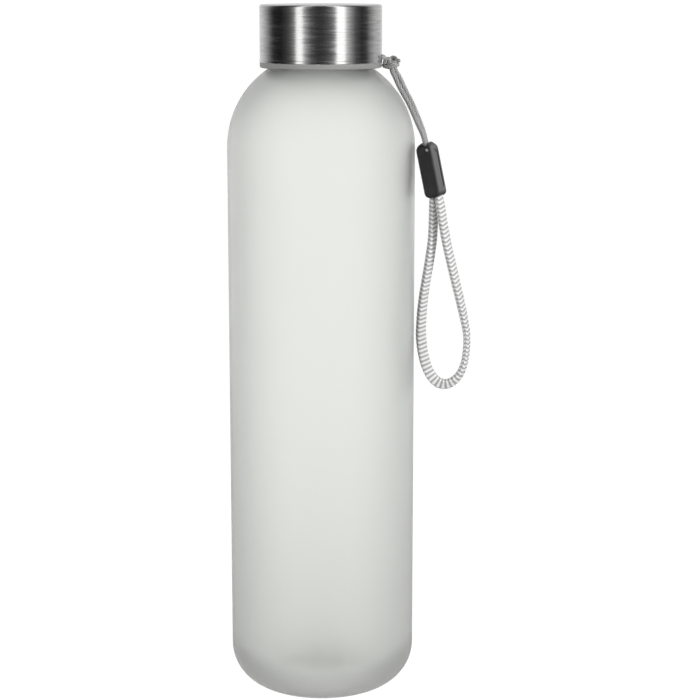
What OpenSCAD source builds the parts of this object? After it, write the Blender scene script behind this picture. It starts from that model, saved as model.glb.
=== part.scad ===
// Glass water bottle: a frosted glass body, a steel screw cap and a carry strap on a thin cord.
// Millimetres. The origin is the middle of the base on the table, +Z up, the strap towards +X.

/* [Glass body] */
// Outside diameter of the body
body_d = 65; // [60:0.5:75]
// Height at which the straight wall ends and the domed shoulder starts
shoulder_z = 193.3; // [120:0.1:260]
// Thickness of the side wall and the shoulder
wall = 2.2; // [1.6:0.1:3]
// Thickness of the floor
floor_t = 5; // [3:0.5:9]
// Radius of the rounded heel
heel_r = 15; // [8:0.5:17]
// Radius of the inside corner above the floor
floor_corner_r = 13; // [8:0.5:14]
// Width of the flat ring that the bottle stands on
foot_w = 3; // [1.5:0.5:5]
// Depth of the hollow under the base
push_up = 1.5; // [0.5:0.1:3]

/* [Neck] */
// Outside diameter of the neck, without its thread
neck_d = 33; // [29:0.5:34]
// Height of the neck above the place where it meets the shoulder
neck_h = 17.15; // [15:0.05:20]
// Thickness of the neck's wall
neck_wall = 2.9; // [2:0.1:4]
// Radius of the blend between the neck and the shoulder
neck_blend = 1; // [0.5:0.1:1.2]
// Radius of the rounding on the rim
rim_r = 1; // [0.4:0.1:1.3]

/* [Screw thread] */
// Rise of the cap for each full turn
pitch = 4.2; // [3.6:0.1:4.6]
// Height of the ridges
ridge_h = 1.2; // [0.8:0.1:1.3]
// Width of a ridge at its root
ridge_root_w = 2.2; // [1.6:0.1:2.4]
// Width of a ridge at its crest
ridge_crest_w = 1; // [0.6:0.1:1.2]
// Height of the start of the neck's ridge above the shoulder
thread_up = 7; // [6:0.25:7.5]
// Turns of the ridge on the neck
neck_turns = 1.4; // [1:0.1:1.6]
// Turns of the ridge in the cap
cap_turns = 1.25; // [0.75:0.05:1.4]
// Radial clearance between the two threads
thread_gap = 0.35; // [0.25:0.05:0.5]
// Gap between the flanks that carry the load
flank_gap = 0.3; // [0.2:0.05:0.4]

/* [Cap] */
// Thickness of the insert's wall outside its thread
insert_wall = 2.35; // [2.2:0.05:4]
// Height of the steel shell
cap_h = 19.5; // [19:0.1:24]
// Thickness of the steel
steel_t = 0.5; // [0.3:0.05:0.7]
// Radius of the shell's top edge
cap_edge_r = 0.8; // [0.6:0.1:1.5]
// How far the turned hem stands out at the shell's lower edge
hem_out = 0.12; // [0.05:0.01:0.3]
// Height of the hem
hem_h = 1; // [0.6:0.1:1.6]
// Height of the insert's lip, the ring that shows under the steel
lip_h = 1.9; // [1.2:0.1:3]
// Chamfer on the lip's edges
lip_chamfer = 0.5; // [0.2:0.1:0.8]
// Thickness of the insert's top
insert_top_t = 1.4; // [1:0.1:2]
// Gap between the insert and the steel around it
insert_gap = 0.1; // [0.05:0.01:0.15]
// Thickness of the gasket
gasket_t = 1.6; // [1:0.1:2.4]
// Gap between the gasket's edge and the wall of the insert
gasket_gap = 0.45; // [0.2:0.05:0.8]
// How far the gasket reaches inwards past the bore of the neck
gasket_in = 1; // [0.5:0.1:2]

/* [Cord] */
// Diameter of the thin cord
cord_d = 1.7; // [1.4:0.1:1.8]
// Clearance across the cord in the cap's holes
cord_hole_gap = 0.4; // [0.2:0.05:0.6]
// Distance between the two holes in the cap
hole_pitch = 4.4; // [4:0.1:6]
// Height of the holes' middle above the shell's lower edge
hole_up = 1.7; // [1.6:0.1:3]
// Diameter of the knot
knot_d = 5; // [4:0.1:5.2]
// Distance of the knot's middle from the side of the cap
knot_out = 3.6; // [3.4:0.1:6]
// Distance of the knot's middle below the shell's lower edge
knot_down = 0.3; // [0:0.1:2]
// Clearance along the hollow that the cord lies in behind the steel
pocket_gap = 0.6; // [0.4:0.1:1]

/* [Toggle] */
// Clearance between the toggle and the side of the body
toggle_gap = 0.36; // [0.3:0.01:3]
// Distance of the toggle's middle below the shell's lower edge
toggle_down = 37; // [34:0.5:50]
// Length of the toggle
toggle_l = 19.3; // [16:0.1:23]
// Width of the toggle's wide face
toggle_w = 6.8; // [6:0.1:7.6]
// Depth of the two shells together
toggle_t = 5.6; // [5.2:0.1:6.2]
// Depth of the back shell
toggle_back_t = 1.8; // [1.4:0.1:2]
// Radius of the toggle's long edges
toggle_edge_r = 1.1; // [0.8:0.1:1.6]
// Radius of the toggle's end corners
toggle_end_r = 2.8; // [1:0.1:2.9]
// Width of the groove along the joint of the two shells
groove_w = 0.5; // [0.3:0.1:0.7]
// Depth of that groove
groove_deep = 0.35; // [0.2:0.05:0.5]
// Thickness of the shells' side walls
toggle_wall = 0.6; // [0.5:0.05:0.8]
// Diameter of the two pins that close the shells
pin_d = 1.2; // [0.8:0.1:1.4]
// Length of the pins
pin_l = 1.4; // [1:0.1:1.8]
// Depth of the slot that the cord enters at the top
slot_deep = 5; // [4:0.1:6]
// Depth of the pocket that the tape's ends sit in
pocket_deep = 5.8; // [5:0.1:6.4]
// Depth of that pocket from front to back
pocket_t = 3.2; // [3:0.1:3.4]

/* [Webbing] */
// Width of the knitted tape
web_w = 3.8; // [3:0.1:4.2]
// Thickness of the knitted tape
web_t = 2.2; // [1.6:0.1:2.4]

/* [Hidden] */
$fn = 96;

// radii and heights of the glass
body_r = body_d / 2;
inner_r = body_r - wall;
neck_r = neck_d / 2;
bore_r = neck_r - neck_wall;
neck_z = shoulder_z + sqrt(body_r * body_r - neck_r * neck_r);
rim_z = neck_z + neck_h;
recess_r = body_r - heel_r - foot_w;
recess_ball_r = (recess_r * recess_r + push_up * push_up) / (2 * push_up);

// thread: the cap's ridge runs half a pitch under the neck's, moved up until the flanks that carry the
// load nearly meet. It starts a quarter turn earlier, and every ridge is sunk a little into its wall
ridge_step = 12;
thread_low_z = neck_z + thread_up;
crest_r = neck_r + ridge_h;
insert_bore_r = crest_r + thread_gap;
insert_crest_r = neck_r + thread_gap;
flank_slope = (ridge_root_w - ridge_crest_w) / 2 / ridge_h;
half_width_at_mid = (ridge_root_w + ridge_crest_w) / 4 - flank_slope * thread_gap / 2;
thread_shift = pitch / 2 - 2 * half_width_at_mid - flank_gap;
cap_thread_from = -90;
sunk = 0.4;

// the cap is stacked out from the thread and up from the rim: gasket, insert, steel
skirt_r = insert_bore_r + insert_wall;
shell_in_r = skirt_r + insert_gap;
cap_r = shell_in_r + steel_t;
insert_under_z = rim_z + gasket_t;
insert_top_z = insert_under_z + insert_top_t;
cap_top_z = insert_top_z + insert_gap + steel_t;
cap_low_z = cap_top_z - cap_h;
lip_low_z = cap_low_z - lip_h;

// where the strap hangs: the knot just outside the cap's lower edge, the toggle beside the glass. The
// toggle leans out by 11.5 degrees, with its wide face turned 40 degrees towards the left, and its
// reach is how far it stands towards the glass
knot_at = [cap_r + knot_out, 0, cap_low_z - knot_down];
toggle_lean = -11.5;
toggle_turn = -40;
toggle_corner = [toggle_w / 2 - toggle_edge_r, toggle_t / 2 - toggle_edge_r];
toggle_reach = (toggle_corner * [cos(toggle_turn), -sin(toggle_turn)] + toggle_edge_r) * cos(toggle_lean)
    - (toggle_l / 2 - toggle_end_r) * sin(toggle_lean);
toggle_at = [body_r + toggle_gap + toggle_reach, 0, cap_low_z - toggle_down];

// cord: where it goes through the cap, touching neither the steel nor the floor of its hollow
bight_gap = 0.05;
hole_r = (cord_d + cord_hole_gap) / 2;
hole_z = cap_low_z + hole_up;
pocket_floor_r = skirt_r - cord_d - bight_gap;
pocket_w = hole_pitch + cord_d + pocket_gap;
bight_r = skirt_r - cord_d / 2;
leg_y = hole_pitch / 2;
bight_half = [knot_at + [-2.15, 1.35, 1.3], knot_at + [-2.7, 1.75, 1.75], [cap_r + 0.2, leg_y, hole_z],
              [bight_r + 0.8, leg_y, hole_z], [bight_r - 0.05, leg_y - 0.55, hole_z]];

// toggle: its length axis, the joint of its shells, and the spaces inside it
toggle_up = [sin(toggle_lean), 0, cos(toggle_lean)];
joint_y = toggle_t / 2 - toggle_back_t;
slot_turn = 27;
slot_w = cord_d + 0.1;
slot_t = 2 * cord_d + 0.2;
slot_floor = toggle_l / 2 - slot_deep;
pocket_top = pocket_deep - toggle_l / 2;
pin_in = 1.8;
pin_up = [pocket_top + pin_in, slot_floor - pin_in];
pin_gap = 0.05;
pin_end_gap = 0.1;

// the strap was laid out with its knot and the toggle's two ends at these places; its points follow
// them if other sizes move the cap, the side of the bottle or the toggle's ends
knot_chosen = [24.6, 0, 222.2];
toggle_chosen = [38.1, 0, 185.5];
toggle_l_chosen = 19.3;
toggle_longer = toggle_up * (toggle_l - toggle_l_chosen) / 2;
knot_move = knot_at - knot_chosen;
head_move = toggle_at - toggle_chosen + toggle_longer;
foot_move = toggle_at - toggle_chosen - toggle_longer;
strand_front_route = [
    [24.55, -0.8, 219.2], [25.5, -0.8, 217.3], [26.7, -0.75, 214.6], [28.15, -0.7, 211.9],
    [30.05, -0.7, 208.6], [31.9, -0.75, 204.7], [33.6, -0.8, 200.9], [35.15, -0.85, 197.5],
    [36.05, -0.87, 194.3], [36.85, -0.87, 190.4]];
strand_rear_route = [
    [25.8, 0.8, 219.3], [27, 0.8, 217.3], [28.3, 0.75, 214.6], [29.6, 0.75, 211.9],
    [31.35, 0.75, 208.6], [33.05, 0.75, 204.7], [34.6, 0.8, 200.9], [35.75, 0.85, 197.5],
    [36.5, 0.87, 194.3], [37.3, 0.87, 190.4]];

// webbing: its route from the toggle, round the loop and back
web_route = [
    [38.05, 0.8, 180.9], [38.85, 0.8, 176.7], [39.15, 0.9, 172.5], [39.1, 1, 168], [38.8, 1, 161],
    [37.9, 1, 154], [36.8, 1, 147], [35.8, 0.9, 140], [35.2, 0.8, 133], [35.1, 0.7, 126],
    [36.2, 0.5, 119], [37.9, 0.3, 114], [40.2, 0.2, 110.8], [43, 0, 109.5], [46, -0.2, 110.3],
    [48.7, -0.3, 113], [50.4, -0.5, 117.5], [51.1, -0.6, 123], [51, -0.7, 128], [50.1, -0.8, 133],
    [48.5, -0.9, 140], [46.8, -1, 147], [45.1, -1, 154], [43.5, -1, 161], [42.2, -1, 168],
    [41.45, -0.9, 173], [40.85, -0.8, 177], [39.95, -0.8, 181.2]];
// how far the tape's wide side is turned from the picture plane at each of those points
web_turn = [40, 35, 25, 25, 25, 25, 25, 25, 25, 25, 20, 10, 0, -5, -15, -30, -45, -55, -55, -50,
            -40, -30, -25, -25, -25, -25, -35, -40];
// the section that the toggle gathers the tape's ends to, and how many rings at each end have it
pinched_w = 2.4;
pinched_t = 2.8;
pinched_rings = 2;

// ---- sweeping ----

function unit(v) = v / norm(v);
function heading(route, i) =
    unit(route[min(i + 1, len(route) - 1)] - route[max(i - 1, 0)]);
// a ring of points around point i of a route: an ellipse turned by an angle about the route. The
// route lies more or less in the plane square to flat
function ring(route, i, half_w, half_t, turn, sides, flat = [0, 1, 0]) =
    let (along = heading(route, i),
         out = unit(cross(flat, along)),
         back = cross(along, out))
    [for (k = [0 : sides - 1])
        let (a = 360 * k / sides, u = half_w * cos(a), v = half_t * sin(a))
        route[i] + out * (u * cos(turn) - v * sin(turn)) + back * (u * sin(turn) + v * cos(turn))];

// a closed solid through a list of rings, all with the same number of points
module skin(rings) {
    sides = len(rings[0]);
    last = len(rings) - 1;
    points = [for (one = rings) each one];
    walls = [for (i = [0 : last - 1], k = [0 : sides - 1])
        let (a = i * sides + k, b = i * sides + (k + 1) % sides)
        each [[a, b, b + sides], [a, b + sides, a + sides]]];
    low_end = [for (k = [sides - 1 : -1 : 0]) k];
    high_end = [for (k = [0 : sides - 1]) last * sides + k];
    polyhedron(points = points, faces = [each walls, low_end, high_end]);
}

module cord_tube(route, d, flat = [0, 1, 0])
    skin([for (i = [0 : len(route) - 1]) ring(route, i, d / 2, d / 2, 0, 8, flat)]);

// a chosen route whose two ends are moved, with what lies between moved in proportion
function follow(route, start_move, end_move) =
    [for (i = [0 : len(route) - 1])
        route[i] + start_move + (end_move - start_move) * i / (len(route) - 1)];

// a screw ridge: its root is sunk into the wall it grows from, and it fades in and out at its ends
module ridge(root_r, crest_r, low_z, from, turns) {
    outward = sign(crest_r - root_r);
    steps = round(turns * 360 / ridge_step);
    skin([for (i = [0 : steps])
        let (angle = from + i * ridge_step,
             z = low_z + pitch * angle / 360,
             full = min(1, (i + 0.2) / 2, (steps - i + 0.2) / 2),
             r = root_r + (crest_r - root_r) * full,
             c = ridge_crest_w / 2,
             b = c + flank_slope * (ridge_h * full + sunk),
             deep_r = root_r - outward * sunk,
             corners = [[deep_r, -b], [r, -c], [r, c], [deep_r, b]],
             order = outward > 0 ? [0, 1, 2, 3] : [3, 2, 1, 0])
        [for (k = order) [corners[k][0] * cos(angle), corners[k][0] * sin(angle), z + corners[k][1]]]]);
}

// ---- glass ----

// right half of a straight-sided vessel with a rounded heel and a domed top
module vessel_half(r, low_z, corner_r) {
    translate([0, low_z + corner_r]) square([r, shoulder_z - low_z - corner_r]);
    translate([0, low_z]) square([r - corner_r, corner_r]);
    translate([r - corner_r, low_z + corner_r]) circle(corner_r);
    intersection() {
        translate([0, shoulder_z]) circle(r);
        translate([0, shoulder_z]) square(r);
    }
}

// the concave blend where the neck grows out of the shoulder
module neck_blend_half() {
    ball_r = body_r + neck_blend;
    x = neck_r + neck_blend;
    z = shoulder_z + sqrt(ball_r * ball_r - x * x);
    touch = [x, z - shoulder_z] * body_r / ball_r + [0, shoulder_z];
    difference() {
        translate([neck_r - sunk, touch[1] - sunk])
            square([touch[0] - neck_r + sunk, z - touch[1] + sunk]);
        translate([x, z]) circle(neck_blend);
    }
}

module neck_half() {
    translate([0, shoulder_z]) square([neck_r, rim_z - rim_r - shoulder_z]);
    translate([0, rim_z - rim_r]) square([neck_r - rim_r, rim_r]);
    translate([neck_r - rim_r, rim_z - rim_r]) circle(rim_r);
}

// everything that is taken out of the neck: the bore, and the rounding of its mouth
module bore_half() {
    translate([0, shoulder_z]) square([bore_r, rim_z - shoulder_z + 1]);
    difference() {
        translate([bore_r - sunk, rim_z - rim_r]) square([rim_r + sunk, rim_r + 1]);
        translate([bore_r + rim_r, rim_z - rim_r]) circle(rim_r);
        translate([bore_r + rim_r, rim_z - rim_r]) square(rim_r + 1);
    }
}

module glass_bottle() {
    color("LightGray") union() {
        rotate_extrude() difference() {
            union() {
                vessel_half(body_r, 0, heel_r);
                neck_blend_half();
                neck_half();
            }
            vessel_half(inner_r, floor_t, floor_corner_r);
            bore_half();
            intersection() {
                translate([0, push_up - recess_ball_r]) circle(recess_ball_r, $fn = 360);
                square([recess_r, push_up]);
            }
        }
        ridge(neck_r, crest_r, thread_low_z, 0, neck_turns);
    }
}

// ---- cap ----

module cap_gasket() {
    color("WhiteSmoke") translate([0, 0, rim_z]) difference() {
        cylinder(h = gasket_t, r = insert_bore_r - gasket_gap);
        translate([0, 0, -1]) cylinder(h = gasket_t + 2, r = bore_r - gasket_in);
    }
}

// the hollow in the insert's wall that the cord's bight lies in
module bight_pocket() {
    translate([pocket_floor_r, -pocket_w / 2, hole_z - hole_r])
        cube([skirt_r - pocket_floor_r + 1, pocket_w, 2 * hole_r]);
}

module cap_insert() {
    color("Gainsboro") union() {
        difference() {
            rotate_extrude() difference() {
                union() {
                    translate([0, cap_low_z]) square([skirt_r, insert_top_z - cap_low_z]);
                    polygon([[0, lip_low_z], [cap_r - lip_chamfer, lip_low_z],
                             [cap_r, lip_low_z + lip_chamfer], [cap_r, cap_low_z], [0, cap_low_z]]);
                }
                translate([0, lip_low_z - 1]) square([insert_bore_r, insert_under_z - lip_low_z + 1]);
                polygon([[0, lip_low_z - 1], [insert_bore_r + lip_chamfer + 1, lip_low_z - 1],
                         [insert_bore_r, lip_low_z + lip_chamfer], [0, lip_low_z + lip_chamfer]]);
            }
            bight_pocket();
        }
        ridge(insert_bore_r, insert_crest_r, thread_low_z - pitch / 2 + thread_shift, cap_thread_from,
              cap_turns);
    }
}

module shell_half(r, top_z, edge_r) {
    translate([0, cap_low_z]) square([r, top_z - edge_r - cap_low_z]);
    translate([0, top_z - edge_r]) square([r - edge_r, edge_r]);
    translate([r - edge_r, top_z - edge_r]) circle(edge_r);
}

module cap_shell() {
    color("Silver") difference() {
        rotate_extrude() difference() {
            union() {
                shell_half(cap_r, cap_top_z, cap_edge_r);
                translate([0, cap_low_z]) square([cap_r + hem_out, hem_h - hem_out]);
                translate([0, cap_low_z + hem_h - hem_out]) square([cap_r, hem_out]);
            }
            translate([0, -1]) shell_half(shell_in_r, cap_top_z - steel_t + 1, cap_edge_r - steel_t);
        }
        for (side = [-1, 1])
            translate([shell_in_r - 2, side * hole_pitch / 2, hole_z])
                rotate([0, 90, 0]) cylinder(h = 5, r = hole_r);
    }
}

// ---- strap ----

module cord_bight() {
    flip = [for (i = [len(bight_half) - 1 : -1 : 0]) let (p = bight_half[i]) [p[0], -p[1], p[2]]];
    color("LightGray") cord_tube([each bight_half, [bight_r, 0, hole_z], each flip], cord_d, [0, 0, 1]);
}

module cord_knot() {
    color("LightGray") translate(knot_at) sphere(d = knot_d);
}

module cord_strand_front() {
    color("LightGray")
        cord_tube(follow(strand_front_route, knot_move, head_move), cord_d);
}

module cord_strand_rear() {
    color("LightGray")
        cord_tube(follow(strand_rear_route, knot_move, head_move), cord_d);
}

module toggle_place() {
    translate(toggle_at) rotate([0, toggle_lean, 0]) rotate([0, 0, toggle_turn]) children();
}

// the whole toggle as one closed block: an outline with rounded ends, cut to a rounded section
module toggle_block() {
    intersection() {
        translate([0, toggle_t / 2, 0]) rotate([90, 0, 0]) linear_extrude(toggle_t)
            rounded_box(toggle_w, toggle_l, toggle_end_r);
        translate([0, 0, -toggle_l / 2]) linear_extrude(toggle_l)
            rounded_box(toggle_w, toggle_t, toggle_edge_r);
    }
}

module rounded_box(w, h, r) {
    square([w - 2 * r, h], center = true);
    square([w, h - 2 * r], center = true);
    for (x = [-1, 1], y = [-1, 1])
        translate([x * (w / 2 - r), y * (h / 2 - r)]) circle(r);
}

// the space inside the toggle: a slot for the cord at the top, a wide pocket for the tape below
module toggle_space() {
    pocket_w = toggle_w - 2 * toggle_wall;
    rotate([0, 0, slot_turn])
        translate([-slot_w / 2, -slot_t / 2, slot_floor]) cube([slot_w, slot_t, slot_deep + 1]);
    translate([-pocket_w / 2, -pocket_t / 2, pocket_top - pocket_deep - 1])
        cube([pocket_w, pocket_t, pocket_deep + 1]);
}

module toggle_groove() {
    difference() {
        translate([-toggle_w, joint_y - groove_w / 2, -toggle_l / 2 + 2])
            cube([2 * toggle_w, groove_w, toggle_l - 4]);
        cube([toggle_w - 2 * groove_deep, toggle_t, toggle_l], center = true);
    }
}

module toggle_front() {
    color("DimGray") toggle_place() difference() {
        toggle_block();
        translate([-toggle_w, joint_y, -toggle_l]) cube([2 * toggle_w, toggle_t, 2 * toggle_l]);
        toggle_space();
        toggle_groove();
        for (z = pin_up)
            translate([0, joint_y + 1, z]) rotate([90, 0, 0])
                cylinder(h = pin_l + pin_end_gap + 1, d = pin_d + 2 * pin_gap, $fn = 32);
    }
}

module toggle_back() {
    color("DimGray") toggle_place() union() {
        difference() {
            toggle_block();
            translate([-toggle_w, joint_y - toggle_t, -toggle_l]) cube([2 * toggle_w, toggle_t, 2 * toggle_l]);
            toggle_space();
            toggle_groove();
        }
        for (z = pin_up)
            translate([0, joint_y + toggle_back_t / 2, z]) rotate([90, 0, 0])
                cylinder(h = pin_l + toggle_back_t / 2, d = pin_d, $fn = 32);
    }
}

module webbing_loop() {
    route = follow(web_route, foot_move, foot_move);
    last = len(route) - 1;
    color("WhiteSmoke") skin([for (i = [0 : last])
        let (held = i < pinched_rings || i > last - pinched_rings)
        ring(route, i, (held ? pinched_w : web_w) / 2, (held ? pinched_t : web_t) / 2, web_turn[i], 12)]);
}

glass_bottle();
cap_gasket();
cap_insert();
cap_shell();
cord_bight();
cord_knot();
cord_strand_front();
cord_strand_rear();
toggle_front();
toggle_back();
webbing_loop();
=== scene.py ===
# Glass water bottle: a frosted glass body, a brushed steel screw cap and a knitted carry loop.
# Metres, in the CAD model's frame: the middle of the base is the origin, +Z up, the strap towards +X.
import math

import bmesh
import bpy
import numpy as np
from mathutils import Matrix, Vector
from mathutils.bvhtree import BVHTree


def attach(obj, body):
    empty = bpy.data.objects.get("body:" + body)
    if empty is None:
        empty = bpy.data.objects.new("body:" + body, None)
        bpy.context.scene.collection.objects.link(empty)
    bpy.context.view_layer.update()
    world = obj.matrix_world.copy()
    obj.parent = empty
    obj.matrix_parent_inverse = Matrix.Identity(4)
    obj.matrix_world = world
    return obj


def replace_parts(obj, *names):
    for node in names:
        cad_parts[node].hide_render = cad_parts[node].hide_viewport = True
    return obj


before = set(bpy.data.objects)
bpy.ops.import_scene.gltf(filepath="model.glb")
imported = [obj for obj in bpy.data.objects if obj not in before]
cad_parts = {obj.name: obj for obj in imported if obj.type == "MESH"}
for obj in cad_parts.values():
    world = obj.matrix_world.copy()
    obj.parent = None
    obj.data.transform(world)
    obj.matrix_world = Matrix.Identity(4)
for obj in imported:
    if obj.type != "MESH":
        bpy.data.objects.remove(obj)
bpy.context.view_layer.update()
mm = 0.001

# the camera, settled by the image points

camera = {
    "aim": (0.010, 0, 0.1218),
    "distance": 0.7,
    "pitch": 10.8,  # degrees downwards
    "lens": 102,
    "sensor": 36,
    "width": 700,
    "height": 700,
    "clip": (0.05, 200),
    "search": (0.55, 0.85, 0.0005),  # from where to where along a ray that misses, in what steps
}

imagePoints = {  # where things are in the photograph, in its own pixels
    "bottleLeft": (229.4, None),
    "bottleRight": (413.8, None),
    "capTop": (None, 4.0),
    "baseBottom": (None, 699.0),
    "steelLowerEdge": (322, 64.7),
    "lipLowerEdge": (322, 70.5),
    "knot": (392, 63),
    "knotCutEnd": (391.5, 59),
    "knotEnd": (397.6, 61),
    "toggleTip": (427, 150),
    "toggleTop": (430, 142.5),
    "toggleFoot": (428, 198),
    "toggleLeft": (415.5, 152),
    "toggleRight": (445, 188),
    "loopLeft": (416, 335),
    "loopRight": (470.4, 341),
    "loopFoot": (443, 389),
}


def placed(name, data):
    made = bpy.data.objects.new(name, data)
    bpy.context.collection.objects.link(made)
    return made


def makeCamera():
    pitch = math.radians(camera["pitch"])
    aim = Vector(camera["aim"])
    data = bpy.data.cameras.new("camera")
    data.lens = camera["lens"]
    data.sensor_width = camera["sensor"]
    data.sensor_fit = "AUTO"
    data.clip_start, data.clip_end = camera["clip"]
    made = placed("camera", data)
    made.location = aim + camera["distance"] * Vector((0, -math.cos(pitch), math.sin(pitch)))
    made.rotation_euler = (math.pi / 2 - pitch, 0, 0)
    bpy.context.scene.camera = made
    bpy.context.view_layer.update()
    return made


cameraObject = makeCamera()


def imageRay(x, y):
    # where the ray through an image point starts, and its direction
    w, h = camera["width"], camera["height"]
    long = max(w, h)
    data, stand = cameraObject.data, cameraObject.matrix_world
    local = Vector((x - w / 2 + data.shift_x * long, h / 2 - y + data.shift_y * long,
                    -long * data.lens / data.sensor_width))
    return stand.translation.copy(), (stand.to_3x3() @ local).normalized()


def placeOn(point, carriers):
    # where an image point shows on finished pieces; a miss takes the place nearest to the ray
    start, way = imageRay(*point)
    surface = surfaceOf(carriers)
    place = surface.ray_cast(start, way)[0]
    if place is None:
        along = [start + way * reach for reach in np.arange(*camera["search"])]
        place = surface.find_nearest(min(along, key=lambda p: surface.find_nearest(p)[3]))[0]
    return place


def surfaceOf(pieces):
    meshes = [([tuple(v.co) for v in mesh.vertices], [list(f.vertices) for f in mesh.polygons])
              for mesh in (piece.data for piece in pieces)]
    return BVHTree.FromPolygons(*joined(*meshes))


print("camera made")


# shader and geometry nodes, written as expressions


class Value:  # a socket of a node tree; an expression on it adds its Math nodes
    def __init__(self, tree, socket):
        self.tree, self.socket = tree, socket

    def maths(self, operation, *others):
        return self.tree.node("ShaderNodeMath", {"operation": operation}, (self,) + others)[0]

    def __add__(self, other):
        return self.maths("ADD", other)

    def __sub__(self, other):
        return self.maths("SUBTRACT", other)

    def __rsub__(self, other):
        return self.tree.node("ShaderNodeMath", {"operation": "SUBTRACT"}, (other, self))[0]

    def __mul__(self, other):
        return self.maths("MULTIPLY", other)

    def __truediv__(self, other):
        return self.maths("DIVIDE", other)

    def __pow__(self, other):
        return self.maths("POWER", other)

    def __abs__(self):
        return self.maths("ABSOLUTE")

    __radd__, __rmul__ = __add__, __mul__


class Outputs:
    def __init__(self, tree, made):
        self.tree, self.made = tree, made

    def __getitem__(self, name):
        return Value(self.tree, self.made.outputs[name])


class Tree:
    def __init__(self, nodeTree):
        self.nodeTree = nodeTree

    def node(self, kind, settings=None, inputs=None):
        made = self.nodeTree.nodes.new(kind)
        for name, value in (settings or {}).items():
            if name == "stops":
                ramp = made.color_ramp
                while len(ramp.elements) < len(value):
                    ramp.elements.new(0.5)
                for element, (place, level) in zip(ramp.elements, value):
                    element.position = place
                    element.color = (level, level, level, 1)
            else:
                setattr(made, name, value)
        pairs = inputs.items() if isinstance(inputs, dict) else enumerate(inputs or ())
        for name, value in pairs:
            if isinstance(value, Value):
                self.nodeTree.links.new(value.socket, made.inputs[name])
            else:
                made.inputs[name].default_value = value
        return Outputs(self, made)

    def blend(self, factor, first, second):
        return self.node("ShaderNodeMix", {"data_type": "RGBA"}, {0: factor, 6: first, 7: second})[2]

    def noise(self, place, scale, detail=2.0, roughness=0.5):
        return self.node("ShaderNodeTexNoise", {}, {
            "Vector": place, "Scale": scale, "Detail": detail, "Roughness": roughness})[0]

    def place(self):
        return self.node("ShaderNodeTexCoord")["Object"]

    def bump(self, height, strength, distance):
        return self.node("ShaderNodeBump", {}, {
            "Height": height, "Strength": strength, "Distance": distance})[0]


def newMaterial(name):
    material = bpy.data.materials.new(name)
    material.use_nodes = True
    material.node_tree.nodes.clear()
    tree = Tree(material.node_tree)
    tree.material = material
    return tree


def finished(tree, shader):
    tree.node("ShaderNodeOutputMaterial", {}, {"Surface": shader})
    return tree.material


def principled(tree, sockets):
    return finished(tree, tree.node("ShaderNodeBsdfPrincipled", {}, sockets)[0])


def scaled(colour, factor):
    return tuple(min(1, c * factor) for c in colour[:3]) + (1,)


# the finishes

glassLook = {
    "tint": (0.972, 0.985, 0.96, 1),
    "index": 1.5,
    "roughness": 0.5,
    "clear": 1.0,  # share of the light that goes on through the wall
    "cloud": 38.0,  # how fine the faint unevenness of the frosting is
    "cloudPaler": 1.02,
    "cloudRough": 0.05,
    "grain": 5200.0,
    "bump": (0.25, 0.00001),  # of the grain: strength, depth
    "smooth": 0.12,  # roughness of the unfrosted inside
    "waver": 60.0,
    "waverRough": 0.03,
}


def frostedGlass():
    tree, look = newMaterial("frostedGlass"), glassLook
    grain = tree.noise(tree.place(), look["grain"], detail=3)
    cloud = tree.noise(tree.place(), look["cloud"])
    return principled(tree, {
        "Base Color": tree.blend(cloud, look["tint"], scaled(look["tint"], look["cloudPaler"])),
        "Roughness": look["roughness"] + look["cloudRough"] * (cloud - 0.5),
        "IOR": look["index"],
        "Transmission Weight": look["clear"],
        "Normal": tree.bump(grain, *look["bump"]),
    })


def smoothGlass():
    tree, look = newMaterial("smoothGlass"), glassLook
    waver = tree.noise(tree.place(), look["waver"])
    return principled(tree, {
        "Base Color": look["tint"],
        "Roughness": look["smooth"] + look["waverRough"] * (waver - 0.5),
        "IOR": look["index"],
        "Transmission Weight": look["clear"],
    })


steelLook = {
    "colour": (0.74, 0.74, 0.735, 1),
    "scratchDark": 0.6,  # the deepest scratches, as a share of the colour
    "roughness": 0.22,
    "scratchRough": 0.22,
    "middle": 0.4,  # the scratch that leaves the roughness as it is
    "stretch": 0.9,  # how much longer a highlight is across the brush lines than along them
    "stretchTurn": 0.25,  # of a full turn
    "lines": 1400.0,
    "along": 110.0,
    "broadShare": 0.3,
    "broadScale": 0.3,
    "contrast": 2.6,
    "bump": (0.2, 0.00001),
}


def brushedSteel():
    tree, look = newMaterial("brushedSteel"), steelLook
    part = tree.node("ShaderNodeSeparateXYZ", {}, {0: tree.place()})
    radius = (part["X"] * part["X"] + part["Y"] * part["Y"]).maths("SQRT")
    across = (part["Z"] + radius) * look["lines"]  # the lines run round the side and round the top
    lines = tree.node("ShaderNodeCombineXYZ", {}, {
        0: part["X"] * look["along"], 1: part["Y"] * look["along"], 2: across})[0]
    fine = tree.noise(lines, 1.0, detail=3, roughness=0.6)
    broad = tree.noise(lines, look["broadScale"])
    scratch = fine * (1 - look["broadShare"]) + broad * look["broadShare"]
    scratch = ((scratch - 0.5) * look["contrast"] + 0.5).maths("MAXIMUM", 0.0).maths("MINIMUM", 1.0)
    colour = look["colour"]
    return principled(tree, {
        "Base Color": tree.blend(scratch, scaled(colour, look["scratchDark"]), colour),
        "Metallic": 1.0,
        "Roughness": look["roughness"] + look["scratchRough"] * (scratch - look["middle"]),
        "Anisotropic": look["stretch"],
        "Anisotropic Rotation": look["stretchTurn"],
        "Normal": tree.bump(scratch, *look["bump"]),
    })


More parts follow.
